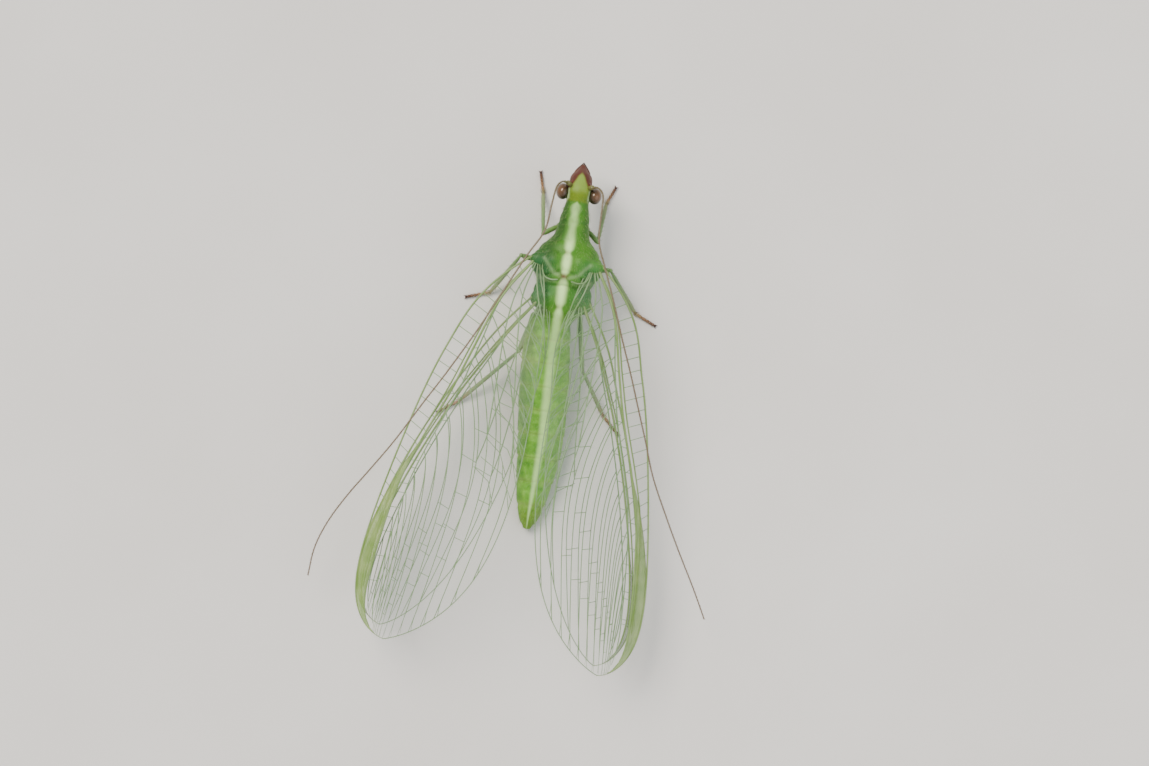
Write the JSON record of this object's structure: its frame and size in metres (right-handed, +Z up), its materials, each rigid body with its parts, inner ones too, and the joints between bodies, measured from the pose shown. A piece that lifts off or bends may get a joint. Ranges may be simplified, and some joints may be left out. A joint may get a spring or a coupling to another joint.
{
  "type": "green lacewing, still model",
  "caption": "Life-size still model of a green lacewing at rest: slender body, half-open roof of net-veined wings, long swept-back antennae, on its feet and abdomen tip.",
  "frame": {"origin": "centre of the footprint, on the floor that the feet and the tip of the abdomen rest on", "axes": "+Y along the body towards the head, +X to the insect's right, +Z up"},
  "size_m": [0.0126, 0.0155, 0.0043],
  "materials": {
    "head": "smooth olive-green cuticle with red-brown cheek stripes",
    "eye": "glossy golden-brown compound eye",
    "antenna": "matt grey-brown thread",
    "body": "satin leaf-green cuticle with a pale stripe down the back",
    "leg": "satin pale green, browner towards the claws",
    "wing": "clear iridescent membrane with green veins"
  },
  "bodies": {
    "root": {"head": "head", "eye_left": "eye", "eye_right": "eye", "antenna_left": "antenna", "antenna_right": "antenna", "prothorax": "body", "mesothorax": "body", "metathorax": "body", "abdomen": "body", "leg_front_left": "leg", "leg_front_right": "leg", "leg_mid_left": "leg", "leg_mid_right": "leg", "leg_hind_left": "leg", "leg_hind_right": "leg", "forewing_left": "wing", "forewing_right": "wing", "hindwing_left": "wing", "hindwing_right": "wing"}
  },
  "joints": []
}
